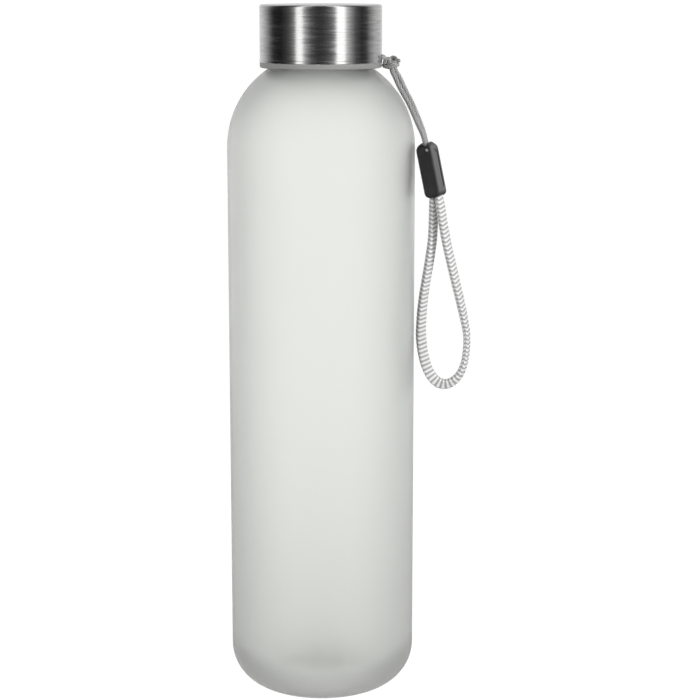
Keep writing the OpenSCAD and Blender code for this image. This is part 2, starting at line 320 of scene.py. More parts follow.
plasticLooks = {
    "naturalPolypropylene": {"colour": (0.34, 0.34, 0.335, 1), "rough": 0.42, "speck": 0.25, "clear": 0.15},
    "whiteSilicone": {"colour": (0.78, 0.78, 0.76, 1), "rough": 0.55, "speck": 0.02, "clear": 0.0},
    "charcoalPlastic": {"colour": (0.022, 0.022, 0.023, 1), "rough": 0.45, "speck": 0.45, "clear": 0.0},
}
plasticGrain = {"scale": 2400.0, "rough": 0.1, "bump": (0.3, 0.00002)}


def plainPlastic(name):
    tree, look = newMaterial(name), plasticLooks[name]
    grain = tree.noise(tree.place(), plasticGrain["scale"], detail=3)
    return principled(tree, {
        "Base Color": tree.blend(grain, scaled(look["colour"], 1 - look["speck"]), look["colour"]),
        "Roughness": look["rough"] + plasticGrain["rough"] * (grain - 0.5),
        "Transmission Weight": look["clear"],
        "Normal": tree.bump(grain, *plasticGrain["bump"]),
    })


# the valley colour is painted shade for the low parts of the relief and the gaps of the knot
yarnLooks = {
    "greyBraid": {"crest": (0.64, 0.64, 0.635, 1), "valley": (0.04, 0.04, 0.04, 1)},
    "whiteKnit": {"crest": (0.76, 0.76, 0.755, 1), "valley": (0.11, 0.11, 0.11, 1)},
}
yarnFibre = {
    "scale": 5200.0,
    "shade": 0.3,  # of the crest's colour, from the fibres
    "heightShade": 0.85,  # and from the height: painted shade, darker where the relief is low
    "roughness": 0.95,
    "smoother": 0.1,
    "fuzz": 0.05,
    "fuzzRoughness": 0.5,
    "bump": (0.5, 0.00006),
}


def yarn(name):
    # knitted and braided pieces carry how high each point of the relief stands, from 0 to 1; their colour is
    # painted darker where it is low, painted shade in the valleys and gaps
    tree, look, fluff = newMaterial(name), yarnLooks[name], yarnFibre
    height = tree.node("ShaderNodeAttribute", {"attribute_name": "height"})["Fac"]
    fibre = tree.noise(tree.place(), fluff["scale"], detail=3, roughness=0.7)
    shade = (height * fluff["heightShade"] + fibre * fluff["shade"]).maths("MINIMUM", 1.0)
    return principled(tree, {
        "Base Color": tree.blend(shade, look["valley"], look["crest"]),
        "Roughness": fluff["roughness"] - fluff["smoother"] * fibre,
        "Sheen Weight": fluff["fuzz"],
        "Sheen Roughness": fluff["fuzzRoughness"],
        "Normal": tree.bump(fibre, *fluff["bump"]),
    })


glassFinish = frostedGlass()
glassInside = smoothGlass()
steelFinish = brushedSteel()
insertFinish = plainPlastic("naturalPolypropylene")
gasketFinish = plainPlastic("whiteSilicone")
toggleFinish = plainPlastic("charcoalPlastic")
cordFinish = yarn("greyBraid")
tapeFinish = yarn("whiteKnit")
print("finishes made")


# makers of meshes


def smoothed(mesh, angle):
    mesh.shade_smooth()
    mesh.set_sharp_from_angle(angle=math.radians(angle))
    return mesh


def meshPiece(name, points, faces, material, angle=35):
    mesh = bpy.data.meshes.new(name)
    mesh.from_pydata([tuple(p) for p in points], [], faces)
    mesh.materials.append(material)
    return placed(name, smoothed(mesh, angle))


def arc(middle, radius, first, last, steps):
    # points of an arc in the radius-height plane; degrees from the outward direction, anticlockwise
    return [(middle[0] + radius * math.cos(math.radians(a)), middle[1] + radius * math.sin(math.radians(a)))
            for a in np.linspace(first, last, steps)]


def turned(profile, steps, closed=False):
    # points and faces of a profile, in millimetres, turned about the axis; an end on the axis is one point
    points, rings = [], []
    for radius, height in profile:
        if radius < 1e-6:
            rings.append([len(points)] * steps)
            points.append((0, 0, height * mm))
            continue
        rings.append(range(len(points), len(points) + steps))
        points += [(radius * math.cos(a) * mm, radius * math.sin(a) * mm, height * mm)
                   for a in np.linspace(0, 2 * math.pi, steps, endpoint=False)]
    pairs = list(zip(rings, rings[1:])) + ([(rings[-1], rings[0])] if closed else [])
    faces = []
    for low, high in pairs:
        for k in range(steps):
            n = (k + 1) % steps
            corners = [low[k], low[n], high[n], high[k]]
            faces.append([c for i, c in enumerate(corners) if c != corners[i - 1]])
    return points, faces


thread = {
    "pitch": 4.2,
    "lowHeight": 228.3,  # of the neck's ridge, at its start
    "height": 1.2,
    "rootWidth": 2.2,
    "crestWidth": 1.0,
    "sunk": 0.4,  # of its foot, in the wall
    "neckTurns": 1.4,
    "capTurns": 1.25,
    "capFrom": -90,
    "capDrop": 1.725,  # the cap's ridge lies this far under the neck's
    "step": 5,  # degrees
    "fadeSteps": 5,  # in which it rises to its full height
    "fadeFrom": 0.3,  # of a step
    "crestFlat": 0.7,
    "crestRound": 0.25,  # of the height
}


def screwRidge(rootRadius, crestRadius, lowHeight, first, turns):
    # a ridge on a right-hand helix that fades in and out at its ends
    outward = 1 if crestRadius > rootRadius else -1
    steps = round(turns * 360 / thread["step"])
    tall, half = thread["height"], thread["crestWidth"] / 2
    slope = (thread["rootWidth"] - thread["crestWidth"]) / 2 / tall
    flat = half * thread["crestFlat"]
    points = []
    for i in range(steps + 1):
        angle = first + i * thread["step"]
        full = min(1, *[(n + thread["fadeFrom"]) / thread["fadeSteps"] for n in (i, steps - i)])
        full = math.sin(full * math.pi / 2)
        top = rootRadius + (crestRadius - rootRadius) * full
        shoulder = half + slope * thread["crestRound"] * tall * full
        foot = half + slope * (tall * full + thread["sunk"])
        deep = rootRadius - outward * thread["sunk"]
        near = top - outward * thread["crestRound"] * tall * full
        section = [(deep, foot), (near, shoulder), (top, flat)]
        section += [(r, -z) for r, z in reversed(section)]
        if outward > 0:
            section.reverse()
        height = lowHeight + thread["pitch"] * angle / 360
        turn = math.radians(angle)
        points += [(r * math.cos(turn) * mm, r * math.sin(turn) * mm, (height + z) * mm) for r, z in section]
    return points, tubeFaces(steps + 1, len(section))


def tubeFaces(rings, sides):
    # faces between rings of points, closed at both ends
    faces = []
    for low in range(0, (rings - 1) * sides, sides):
        for k in range(sides):
            n = (k + 1) % sides
            faces.append([low + k, low + n, low + sides + n, low + sides + k])
    return faces + [list(range(sides))[::-1], [(rings - 1) * sides + k for k in range(sides)]]


def joined(*parts):
    points, faces = [], []
    for morePoints, moreFaces in parts:
        faces += [[i + len(points) for i in face] for face in moreFaces]
        points += morePoints
    return points, faces


def outwards(piece):
    # faces turned outwards on a closed mesh
    mesh = bmesh.new()
    mesh.from_mesh(piece.data)
    bmesh.ops.recalc_face_normals(mesh, faces=mesh.faces)
    mesh.to_mesh(piece.data)
    mesh.free()
    return piece


def settled(piece, angle=35):
    # the piece with its modifiers worked into its mesh
    graph = bpy.context.evaluated_depsgraph_get()
    mesh = bpy.data.meshes.new_from_object(piece.evaluated_get(graph))
    piece.modifiers.clear()
    piece.data = smoothed(mesh, angle)
    return piece


def cut(piece, cutters):
    for cutter in cutters:
        modifier = piece.modifiers.new("cut", "BOOLEAN")
        modifier.operation = "DIFFERENCE"
        modifier.solver = "EXACT"
        modifier.object = cutter
    settled(piece)
    for cutter in cutters:
        bpy.data.objects.remove(cutter)
    return piece


def block(name, low, high):
    # a cutter between two corners; what a cutter cuts keeps its own finish
    corners = [(x, y, z) for x in (low[0], high[0]) for y in (low[1], high[1]) for z in (low[2], high[2])]
    faces = [(0, 1, 3, 2), (4, 6, 7, 5), (0, 4, 5, 1), (2, 3, 7, 6), (0, 2, 6, 4), (1, 5, 7, 3)]
    return meshPiece(name, corners, faces, steelFinish)


def rod(name, start, end, radius, sides=32):
    # a round cutter, in metres
    start, end = Vector(start), Vector(end)
    turn = (end - start).to_track_quat("Z", "Y").to_matrix()
    points = []
    for middle in (start, end):
        for k in range(sides):
            a = 2 * math.pi * k / sides
            points.append(middle + turn @ Vector((radius * math.cos(a), radius * math.sin(a), 0)))
    return meshPiece(name, points, tubeFaces(2, sides), steelFinish)


# the glass body

glass = {
    "bodyRadius": 32.5,
    "shoulderHeight": 193.3,
    "wall": 2.2,
    "floor": 5.0,
    "heelRadius": 15.0,
    "floorCornerRadius": 13.0,
    "footWidth": 3.0,
    "pushUp": 1.5,
    "neckRadius": 16.5,
    "neckHeight": 17.15,
    "neckWall": 2.9,
    "neckBlend": 1.0,
    "innerBlend": 1.5,
    "rimRadius": 1.0,
    "steps": 192,
    "boreReach": 12.0,  # faces above the floor and nearer to the axis than this are inside
}


def glassProfile():
    body, shoulder, heel = glass["bodyRadius"], glass["shoulderHeight"], glass["heelRadius"]
    neck, blendR, rim = glass["neckRadius"], glass["neckBlend"], glass["rimRadius"]
    inner, bore = body - glass["wall"], neck - glass["neckWall"]
    corner, floor = glass["floorCornerRadius"], glass["floor"]
    top = shoulder + math.sqrt(body**2 - neck**2) + glass["neckHeight"]
    recess = body - heel - glass["footWidth"]
    ball = (recess**2 + glass["pushUp"]**2) / (2 * glass["pushUp"])
    hollow = [(recess * t, glass["pushUp"] - ball + math.sqrt(ball**2 - (recess * t) ** 2))
              for t in np.linspace(0, 1, 14)]
    side = [(body, z) for z in np.linspace(heel, shoulder, 30)[1:-1]]
    blendX = neck + blendR
    blendZ = shoulder + math.sqrt((body + blendR) ** 2 - blendX**2)
    meet = math.degrees(math.atan2(blendZ - shoulder, blendX))
    dome = arc((0, shoulder), body, 0, meet, 46)
    into = arc((blendX, blendZ), blendR, meet + 180, 180, 7)
    rimOut = arc((neck - rim, top - rim), rim, 0, 90, 7)
    rimIn = arc((bore + rim, top - rim), rim, 90, 180, 7)
    # inside: the bore runs into the dome over a small rounding
    innerX = bore + glass["innerBlend"]
    innerZ = shoulder + math.sqrt((inner + glass["innerBlend"]) ** 2 - innerX**2)
    turn = math.degrees(math.atan2(innerZ - shoulder, innerX))
    boreIn = arc((innerX, innerZ), glass["innerBlend"], 180, 180 + turn, 8)
    domeIn = arc((0, shoulder), inner, turn, 0, 46)
    sideIn = [(inner, z) for z in np.linspace(shoulder, floor + corner, 30)[1:-1]]
    cornerIn = arc((inner - corner, floor + corner), corner, 0, -90, 20)
    floorIn = [((inner - corner) * t, floor) for t in np.linspace(1, 0, 8)[1:]]
    heelOut = arc((body - heel, heel), heel, -90, 0, 24)
    neckSide = [(neck, z) for z in np.linspace(blendZ, top - rim, 6)[1:-1]]
    boreSide = [(bore, z) for z in np.linspace(top - rim, innerZ, 8)[1:-1]]
    return (hollow + heelOut + side + dome + into[1:] + neckSide + rimOut + rimIn + boreSide + boreIn
            + domeIn[1:] + sideIn + cornerIn + floorIn)


def isInside(face):
    # whether a face of the glass is on its unfrosted inside
    x, y, z = face.center
    reach = math.hypot(x, y) - glass["wall"] * mm / 2
    outward = Vector((x, y, max(0, z - glass["shoulderHeight"] * mm)))
    if reach < (glass["bodyRadius"] - glass["wall"]) * mm and face.normal.dot(outward) < 0:
        return True
    return z > glass["floor"] * mm and reach < glass["boreReach"] * mm


neckThread = screwRidge(glass["neckRadius"], glass["neckRadius"] + thread["height"], thread["lowHeight"], 0,
                        thread["neckTurns"])
glassMesh = joined(turned(glassProfile(), glass["steps"]), neckThread)
glassBody = outwards(meshPiece("glassBody", *glassMesh, glassFinish))
glassBody.data.materials.append(glassInside)
for face in glassBody.data.polygons:
    face.material_index = int(isInside(face))
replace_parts(glassBody, "glass_bottle")
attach(glassBody, "bottle")
print("glass made")

# the screw cap: steel shell, insert and gasket

cap = {
    "radius": 21.0,
    "top": 242.05,
    "height": 19.5,
    "steel": 0.5,
    "edgeRadius": 0.8,
    "innerEdge": 0.3,
    "hemSoft": 0.12,
    "hemOut": 0.12,
    "hemHeight": 1.0,
    "lipHeight": 1.9,
    "lipChamfer": 0.5,
    "insertTop": 1.4,
    "insertRadius": 20.4,
    "insertBore": 18.05,
    "insertCrest": 16.85,
    "gap": 0.1,
    "holeRadius": 1.05,
    "holeUp": 1.7,
    "holePitch": 4.4,
    "drillReach": 3.0,
    "wallRings": (236, 230, 226),
    "gasketInner": 12.6,
    "gasketOuter": 17.6,
    "gasketHeight": 1.6,
    "gasketSoft": 0.25,
    "steps": 192,
}
cap["low"] = cap["top"] - cap["height"]
cap["insertHigh"] = cap["top"] - cap["steel"] - cap["gap"]
cap["insertUnder"] = cap["insertHigh"] - cap["insertTop"]


def shellProfile():
    r, top, low, edge = cap["radius"], cap["top"], cap["low"], cap["edgeRadius"]
    hemR, hemTop, soft = r + cap["hemOut"], low + cap["hemHeight"], cap["hemSoft"]
    inside, under, corner = r - cap["steel"], top - cap["steel"], cap["innerEdge"]
    return ([(inside * t, under) for t in np.linspace(0, 0.96, 8)]
            + arc((inside - corner, under - corner), corner, 90, 0, 5)
            + [(inside, z) for z in cap["wallRings"]]
            + arc((inside + soft, low + soft), soft, 180, 270, 4)
            + arc((hemR - soft, low + soft), soft, 270, 360, 5)
            + arc((hemR - soft, hemTop - soft), soft, 0, 80, 4)
            + [(r, hemTop + 0.05)] + [(r, z) for z in np.linspace(hemTop + 1, top - edge, 10)[:-1]]
            + arc((r - edge, top - edge), edge, 0, 90, 10)
            + [((r - edge) * t, top) for t in np.linspace(0.92, 0, 12)])


def holeDrill(side):
    y, z = side * cap["holePitch"] / 2 * mm, (cap["low"] + cap["holeUp"]) * mm
    ends = [((cap["radius"] + reach) * mm, y, z) for reach in (-cap["drillReach"], cap["drillReach"])]
    return rod("hole", *ends, cap["holeRadius"] * mm)


steelShell = outwards(meshPiece("steelShell", *turned(shellProfile(), cap["steps"]), steelFinish, 50))
cut(steelShell, [holeDrill(side) for side in (-1, 1)])
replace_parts(steelShell, "cap_shell")
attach(steelShell, "cap")


def insertProfile():
    low, lipLow, chamfer, r = cap["low"], cap["low"] - cap["lipHeight"], cap["lipChamfer"], cap["radius"]
    high, under, bore, skirt = cap["insertHigh"], cap["insertUnder"], cap["insertBore"], cap["insertRadius"]
    soft = cap["hemSoft"]
    return ([(bore * t, under) for t in np.linspace(0, 0.97, 8)] + [(bore, under - 0.4)]
            + [(bore, z) for z in np.linspace(under - 3, lipLow + chamfer, 6)]
            + [(bore + chamfer, lipLow)] + [(r - chamfer, lipLow)]
            + arc((r - chamfer, lipLow + chamfer), chamfer, -70, 0, 5)
            + arc((r - soft, low - soft), soft, 0, 90, 4) + [(skirt, low)]
            + [(skirt, z) for z in np.linspace(low + 0.5, high - 0.5, 8)] + [(skirt - 0.5, high)]
            + [((skirt - 1) * t, high) for t in np.linspace(1, 0, 8)])


capThread = screwRidge(cap["insertBore"], cap["insertCrest"], thread["lowHeight"] - thread["capDrop"],
                       thread["capFrom"], thread["capTurns"])
insertMesh = joined(turned(insertProfile(), cap["steps"]), capThread)
screwInsert = outwards(meshPiece("screwInsert", *insertMesh, insertFinish))
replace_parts(screwInsert, "cap_insert")
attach(screwInsert, "cap")


def gasketProfile():
    soft = cap["gasketSoft"]
    inner, outer = cap["gasketInner"] + soft, cap["gasketOuter"] - soft
    low, high = cap["insertUnder"] - cap["gasketHeight"] + soft, cap["insertUnder"] - soft
    return (arc((inner, low), soft, 180, 270, 4) + arc((outer, low), soft, 270, 360, 4)
            + arc((outer, high), soft, 0, 90, 4) + arc((inner, high), soft, 90, 180, 4))


gasketMesh = turned(gasketProfile(), cap["steps"] // 2, closed=True)
gasketRing = outwards(meshPiece("gasketRing", *gasketMesh, gasketFinish))
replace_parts(gasketRing, "cap_gasket")
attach(gasketRing, "seal")
print("cap made")


# the thin cord, with its knot


def smoothRun(route, spacing, perSpan=24):
    # rows of x, y, z and anything else, spaced evenly along a smooth curve through a route's rows
    rows = np.array(route, float)
    padded = np.vstack([2 * rows[0] - rows[1], rows, 2 * rows[-1] - rows[-2]])
    t = np.linspace(0, 1, perSpan, endpoint=False)[:, None]
    dense = [0.5 * (2 * b + (c - a) * t + (2 * a - 5 * b + 4 * c - d) * t**2
                    + (3 * b - a - 3 * c + d) * t**3)
             for a, b, c, d in zip(padded, padded[1:], padded[2:], padded[3:])]
    dense = np.vstack(dense + [rows[-1:]])
    run = np.concatenate([[0], np.cumsum(np.linalg.norm(np.diff(dense[:, :3], axis=0), axis=1))])
    even = np.linspace(0, run[-1], round(run[-1] / spacing) + 1)
    return np.stack([np.interp(even, run, dense[:, k]) for k in range(rows.shape[1])], 1)


def evened(ways):
    return ways / np.linalg.norm(ways, axis=1)[:, None]


def lengthOf(places):
    return float(np.linalg.norm(np.diff(places, axis=0), axis=1).sum())


def sweepTree(name, relief):
    # an oval section swept along an edge path, with its surface lowered where the relief is low; the path
    # carries "wide", the direction of the section's width, "gather", its scale, and "lean", for the ribs
    group = bpy.data.node_groups.new(name, "GeometryNodeTree")
    tree = Tree(group)
    kinds = {"Path": "Geometry", "Width": "Float", "Thickness": "Float", "Square": "Float", "Sides": "Int",
             "Spacing": "Float", "Pitch": "Float", "Depth": "Float", "Finish": "Material"}
    for title, kind in kinds.items():
        group.interface.new_socket(title, in_out="INPUT", socket_type="NodeSocket" + kind)
    group.interface.new_socket("Piece", in_out="OUTPUT", socket_type="NodeSocketGeometry")
    given = tree.node("NodeGroupInput")

    def named(title, kind="FLOAT"):
        return tree.node("GeometryNodeInputNamedAttribute", {"data_type": kind}, {"Name": title})[0]

    def store(shape, title, value):
        return tree.node("GeometryNodeStoreNamedAttribute", {"data_type": "FLOAT", "domain": "POINT"}, {
            "Geometry": shape, "Name": title, "Value": value})[0]

    path = tree.node("GeometryNodeMeshToCurve", {}, {0: given["Path"]})[0]
    path = tree.node("GeometryNodeResampleCurve", {"mode": "LENGTH"}, {
        "Curve": path, "Length": given["Spacing"]})[0]
    path = tree.node("GeometryNodeSetCurveNormal", {"mode": "FREE"}, {
        "Curve": path, "Normal": named("wide", "FLOAT_VECTOR")})[0]
    path = store(path, "along", tree.node("GeometryNodeSplineParameter")["Length"])
    section = tree.node("GeometryNodeCurvePrimitiveCircle", {"mode": "RADIUS"}, {
        "Resolution": given["Sides"], "Radius": 0.5})[0]
    section = store(section, "around", tree.node("GeometryNodeSplineParameter")["Factor"] * (2 * math.pi))
    edges = [named("around").maths(way) for way in ("COSINE", "SINE")]  # an oval at Square 1, squarer below
    edges = [edge.maths("SIGN") * abs(edge) ** given["Square"] * size * 0.5
             for edge, size in zip(edges, (given["Width"], given["Thickness"]))]
    section = tree.node("GeometryNodeSetPosition", {}, {
        "Geometry": section, "Position": tree.node("ShaderNodeCombineXYZ", {}, edges)[0]})[0]
    shape = tree.node("GeometryNodeCurveToMesh", {}, {
        "Curve": path, "Profile Curve": section, "Scale": named("gather"), "Fill Caps": True})[0]
    shape = store(shape, "height", relief(named, given))
    lowered = (named("height") - 1) * given["Depth"]
    offset = tree.node("ShaderNodeVectorMath", {"operation": "SCALE"}, {
        0: tree.node("GeometryNodeInputNormal")[0], "Scale": lowered})[0]
    shape = tree.node("GeometryNodeSetPosition", {}, {"Geometry": shape, "Offset": offset})[0]
    shape = tree.node("GeometryNodeRealizeInstances", {}, {0: shape})[0]
    shape = tree.node("GeometryNodeSetMaterial", {}, {"Geometry": shape, "Material": given["Finish"]})[0]
    tree.node("NodeGroupOutput", {}, {"Piece": shape})
    return group


reliefLook = {
    "ribBend": 0.33,  # how far a knit rib leans over a wide side, in ribs
    "ribTuck": 0.5,  # and turns back over a narrow one
    "ribRound": 1.4,
    "seamNarrow": 3,
    "seamDeep": 0.5,
    "strands": 3,  # of the braid, each way round
}


def knitRelief(named, given):
    # ribs that lean across the wide sides, turn back on the narrow ones and part along their middle
    around, lean = named("around"), named("lean")
    across, deep = [edge.maths("SIGN") * abs(edge) ** given["Square"]
                    for edge in (around.maths("COSINE"), around.maths("SINE"))]
    bend = (1 - across * lean) * reliefLook["ribBend"] + (1 - abs(deep)) * reliefLook["ribTuck"]
    step = (named("along") / given["Pitch"] + lean * bend).maths("FRACT")
    rib = 1 - abs(step * 2 - 1) ** reliefLook["ribRound"]
    seam = (1 - abs(deep) * reliefLook["seamNarrow"]).maths("MAXIMUM", 0.0)
    return rib * (1 - reliefLook["seamDeep"] * seam)


def braidRelief(named, given):
    # two sets of strands that cross at an angle
    turn = named("along") / given["Pitch"] * (2 * math.pi)
    strand = named("around") * reliefLook["strands"]
    return abs((strand + turn).maths("SINE") * (strand - turn).maths("SINE"))


sweeps = {"knit": sweepTree("knitTape", knitRelief), "braid": sweepTree("braidedCord", braidRelief)}


def swept(name, places, settings, material, group, wide=None, gather=None, lean=None):
    count = len(places)
    mesh = bpy.data.meshes.new(name)
    mesh.from_pydata(places.tolist(), [(i, i + 1) for i in range(count - 1)], [])
    if wide is None:  # a cord is round, and any way across it will do
        wide = evened(np.cross(np.gradient(places, axis=0), (0.13, 0.97, 0.2)))
    mesh.attributes.new("wide", "FLOAT_VECTOR", "POINT").data.foreach_set("vector", np.asarray(wide).ravel())
    for title, values, usual in (("gather", gather, 1.0), ("lean", lean, 0.0)):
        values = np.full(count, usual) if values is None else values
        mesh.attributes.new(title, "FLOAT", "POINT").data.foreach_set("value", values)
    piece = placed(name, mesh)
    modifier = piece.modifiers.new("sweep", "NODES")
    modifier.node_group = group
    chosen = dict(settings, Finish=material)
    for socket in group.interface.items_tree:
        if socket.in_out == "INPUT" and socket.name in chosen:
            modifier[socket.identifier] = chosen[socket.name]
    return settled(piece, 80)


cordLook = {"Width": 1.7 * mm, "Thickness": 1.7 * mm, "Square": 1.0, "Sides": 40, "Spacing": 0.12 * mm,
            "Pitch": 2.2 * mm, "Depth": 0.12 * mm}
strapLift = 0.05  # millimetres that the strap hangs above the places it was laid out at
strandRoutes = {  # as in the CAD source, each started a little further up, in the knot
    "strandFront": [(24.3, -0.7, 220.9), (24.55, -0.8, 219.2), (25.5, -0.8, 217.3), (26.7, -0.75, 214.6),
                    (28.15, -0.7, 211.9), (30.05, -0.7, 208.6), (31.9, -0.75, 204.7), (33.6, -0.8, 200.9),
                    (35.15, -0.85, 197.5), (36.05, -0.87, 194.3), (36.85, -0.87, 190.4)],
    "strandRear": [(25.2, 0.7, 221), (25.8, 0.8, 219.3), (27, 0.8, 217.3), (28.3, 0.75, 214.6),
                   (29.6, 0.75, 211.9), (31.35, 0.75, 208.6), (33.05, 0.75, 204.7), (34.6, 0.8, 200.9),
                   (35.75, 0.85, 197.5), (36.5, 0.87, 194.3), (37.3, 0.87, 190.4)],
}
knot = {
    "middle": (24.6, 0, 222.25),
    "tight": 0.86,  # how much thinner the cord is pulled in it
    "spacing": 0.2,
}
knotWraps = {  # the turns of the knot, in millimetres from its middle; the first closes on itself
    "tiedKnot": [(-2.85, 0.7, -0.8), (-2.6, -0.6, -1.2), (-1.0, -1.5, -1.35), (0.3, -1.75, -0.95),
                 (1.3, -1.1, -0.75), (1.75, 0.1, -0.6), (1.2, 1.3, -0.6), (-0.3, 1.7, -0.8),
                 (-1.5, 1.4, -0.9), (-2.85, 0.7, -0.8), (-2.6, -0.6, -1.2)],
    "knotTurnLeft": [(-2.65, -0.6, -0.3), (-2.65, -1.4, 0.4), (-2.1, -1.75, 1.25), (-1.3, -1.7, 1.3),
                     (-1.0, -1.6, 0.4), (-1.2, -1.1, -0.9), (-1.2, 0.2, -1.7)],
    "knotTurnRight": [(-0.9, 1.1, 1.2), (0.2, 0.6, 1.75), (1.15, -0.2, 1.35), (1.25, -1.25, 0.5),
                      (0.4, -1.85, 0.05), (-0.7, -1.7, -0.1), (-1.7, -0.9, 0.1), (-2.0, 0.3, 0.3)],
}

strands = []
for name, node in (("strandFront", "cord_strand_front"), ("strandRear", "cord_strand_rear")):
    places = smoothRun([(x, y, z + strapLift) for x, y, z in strandRoutes[name]], spacing=0.4) * mm
    strand = swept(name, places, cordLook, cordFinish, sweeps["braid"])
    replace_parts(strand, node)
    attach(strand, "strap")
    tuple(places[0])
    round(lengthOf(places), 4)
    places[::3].tolist() + [places[-1].tolist()]
    strands.append(strand)

knotLook = dict(cordLook, **{way: cordLook[way] * knot["tight"] for way in ("Width", "Thickness")})
knotPieces = []
for name, turns in knotWraps.items():
    places = (smoothRun(turns, knot["spacing"]) + knot["middle"]) * mm
    knotPieces.append(swept(name, places, knotLook, cordFinish, sweeps["braid"]))
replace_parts(knotPieces[0], "cord_knot")

stubs = {  # ends of cord: which way, how far out in millimetres, and what differs from the cord's look
    "knotCutEnd": {"way": (-0.1, -1, 0.25), "out": 0.5, "look": {}},
    "knotEnd": {"way": (1, -0.4, 0.25), "out": 0.9, "look": {"Width": 1.3 * mm, "Thickness": 1.3 * mm}},
    "toggleTip": {"way": (-0.1, -1, 0.3), "out": 0.15,
                  "look": {"Width": 1.0 * mm, "Thickness": 1.0 * mm, "Depth": 0.03 * mm}},
}
stubSunk, stubSpacing = (1.2, 0.4), 0.15  # millimetres


def cordStub(name, carriers, finish):
    # a cut end of cord that stands out of what shows at its image point
    place = placeOn(imagePoints[name], carriers)
    way, out = Vector(stubs[name]["way"]).normalized() * mm, stubs[name]["out"]
    run = [place - way * back for back in stubSunk] + [place + way * out * 0.5, place + way * out]
    places = smoothRun([tuple(p / mm) for p in run], stubSpacing) * mm
    return swept(name, places, dict(cordLook, **stubs[name]["look"]), finish, sweeps["braid"])


knotPieces += [cordStub(name, knotPieces, cordFinish) for name in ("knotCutEnd", "knotEnd")]
for piece in knotPieces:
    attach(piece, "hitch")

holeZ, legY = cap["low"] + cap["holeUp"], cap["holePitch"] / 2
leg = [(23.4, 0.8, 222.8), (22.5, 1.35, 223.4), (21.9, 1.75, 223.9),
       (21.2, legY, holeZ), (20.35, legY, holeZ)]
leg += [(19.55, 0, holeZ)] + [(x, -y, z) for x, y, z in reversed(leg)]  # and back out of the other hole
bight = smoothRun(leg, spacing=0.3) * mm
holeCord = swept("holeCord", bight, cordLook, cordFinish, sweeps["braid"],
                 wide=np.tile((0.0, 0.0, 1.0), (len(bight), 1)))
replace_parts(holeCord, "cord_bight")
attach(holeCord, "cap")
print("cords made")

# the knitted loop

tape = {"Width": 3.8 * mm, "Thickness": 2.2 * mm, "Square": 0.5, "Sides": 60, "Spacing": 0.16 * mm,
        "Pitch": 1.48 * mm, "Depth": 0.2 * mm}
tapeRoute = [
    (38.05, 0.8, 180.9), (38.85, 0.8, 176.7), (39.15, 0.9, 172.5), (39.1, 1, 168), (38.8, 1, 161),
    (37.9, 1, 154), (36.8, 1, 147), (35.8, 0.9, 140), (35.2, 0.8, 133), (35.1, 0.7, 126),
    (36.2, 0.5, 119), (37.9, 0.3, 114), (40.2, 0.2, 110.8), (43, 0, 109.5), (46, -0.2, 110.3),
    (48.7, -0.3, 113), (50.4, -0.5, 117.5), (51.1, -0.6, 123), (51, -0.7, 128), (50.1, -0.8, 133),
    (48.5, -0.9, 140), (46.8, -1, 147), (45.1, -1, 154), (43.5, -1, 161), (42.2, -1, 168),
    (41.45, -0.9, 173), (40.85, -0.8, 177), (39.95, -0.8, 181.2)]
# the turn of its wide side from the picture plane in degrees, how the toggle gathers it, how its ribs lean
tapeTurn = [-50] * 7 + [-45, -38, -28, -12, 0, 8, 22, 38, 55, 68, 72, 70, 64, 56, 52] + [50] * 6
tapeGather = [0.7, 0.78] + [1] * 24 + [0.78, 0.7]
tapeLean = [1] * 9 + [0.9, 0.7, 0.5, 0.25, 0, -0.25, -0.6] + [-1] * 12


def makeLoop():
    extras = zip(tapeTurn, tapeGather, tapeLean)
    rows = [(x, y, z + strapLift) + extra for (x, y, z), extra in zip(tapeRoute, extras)]
    rows = smoothRun(rows, spacing=0.5)
    places = rows[:, :3] * mm
    along = evened(np.gradient(places, axis=0))
    out = evened(np.cross((0.0, 1.0, 0.0), along))
    back = np.cross(along, out)
    turn = np.radians(rows[:, 3])[:, None]
    wide = out * np.cos(turn) + back * np.sin(turn)
    return places, swept("knitLoop", places, tape, tapeFinish, sweeps["knit"], wide, rows[:, 4], rows[:, 5])


tapePlaces, knitLoop = makeLoop()
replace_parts(knitLoop, "webbing_loop")
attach(knitLoop, "strap")
tuple(tapePlaces[0])
round(lengthOf(tapePlaces), 4)
tapePlaces[::4].tolist() + [tapePlaces[-1].tolist()]
print("loop made")

# the toggle, in two shells

toggle = {
    "middle": (38.1, 0, 185.55),
    "lean": -11.5,
    "turn": -40,
    "width": 6.8,
    "depth": 5.6,
    "length": 19.3,
    "edgeRadius": 1.4,
    "topRadius": 2.8,
    "topDeep": 0.85,  # how much of the top's rounding its depth takes
    "footRadius": 1.9,
    "footDeep": 0.7,
    "topRings": (2.3, 14),  # how far down the close rings of points go, and how many
    "footRings": (2.1, 12),
    "sideRings": 16,
    "jointY": 1.0,
    "apart": 0.02,  # the two sides of the joint stay just apart
    "groove": 0.55,
    "grooveDeep": 0.4,
    "grooveShort": 3.0,  # from each end
    "grooveFade": 0.8,
    "grooveSlope": 0.6,
    "leastBack": 0.05,  # what the back shell keeps of the depth
    "slot": (1.9, 3.7),
    "slotDeep": 5.0,
    "slotTurn": 27,
    "notchRadius": 1.35,
    "notchUp": 0.2,
    "notchReach": 4.5,
    "pocket": (5.3, 3.2),
    "pocketDeep": 5.8,
    "cutBeyond": 2,
}
togglePlace = (Matrix.Translation(Vector(toggle["middle"]) * mm)
               @ Matrix.Rotation(math.radians(toggle["lean"]), 4, "Y")
               @ Matrix.Rotation(math.radians(toggle["turn"]), 4, "Z") @ Matrix.Diagonal((mm, mm, mm, 1)))


def roundInset(distance, radius):
    # how far a rounded end stands back, this far from the end
    return radius - math.sqrt(max(0, radius**2 - max(0, radius - distance) ** 2))


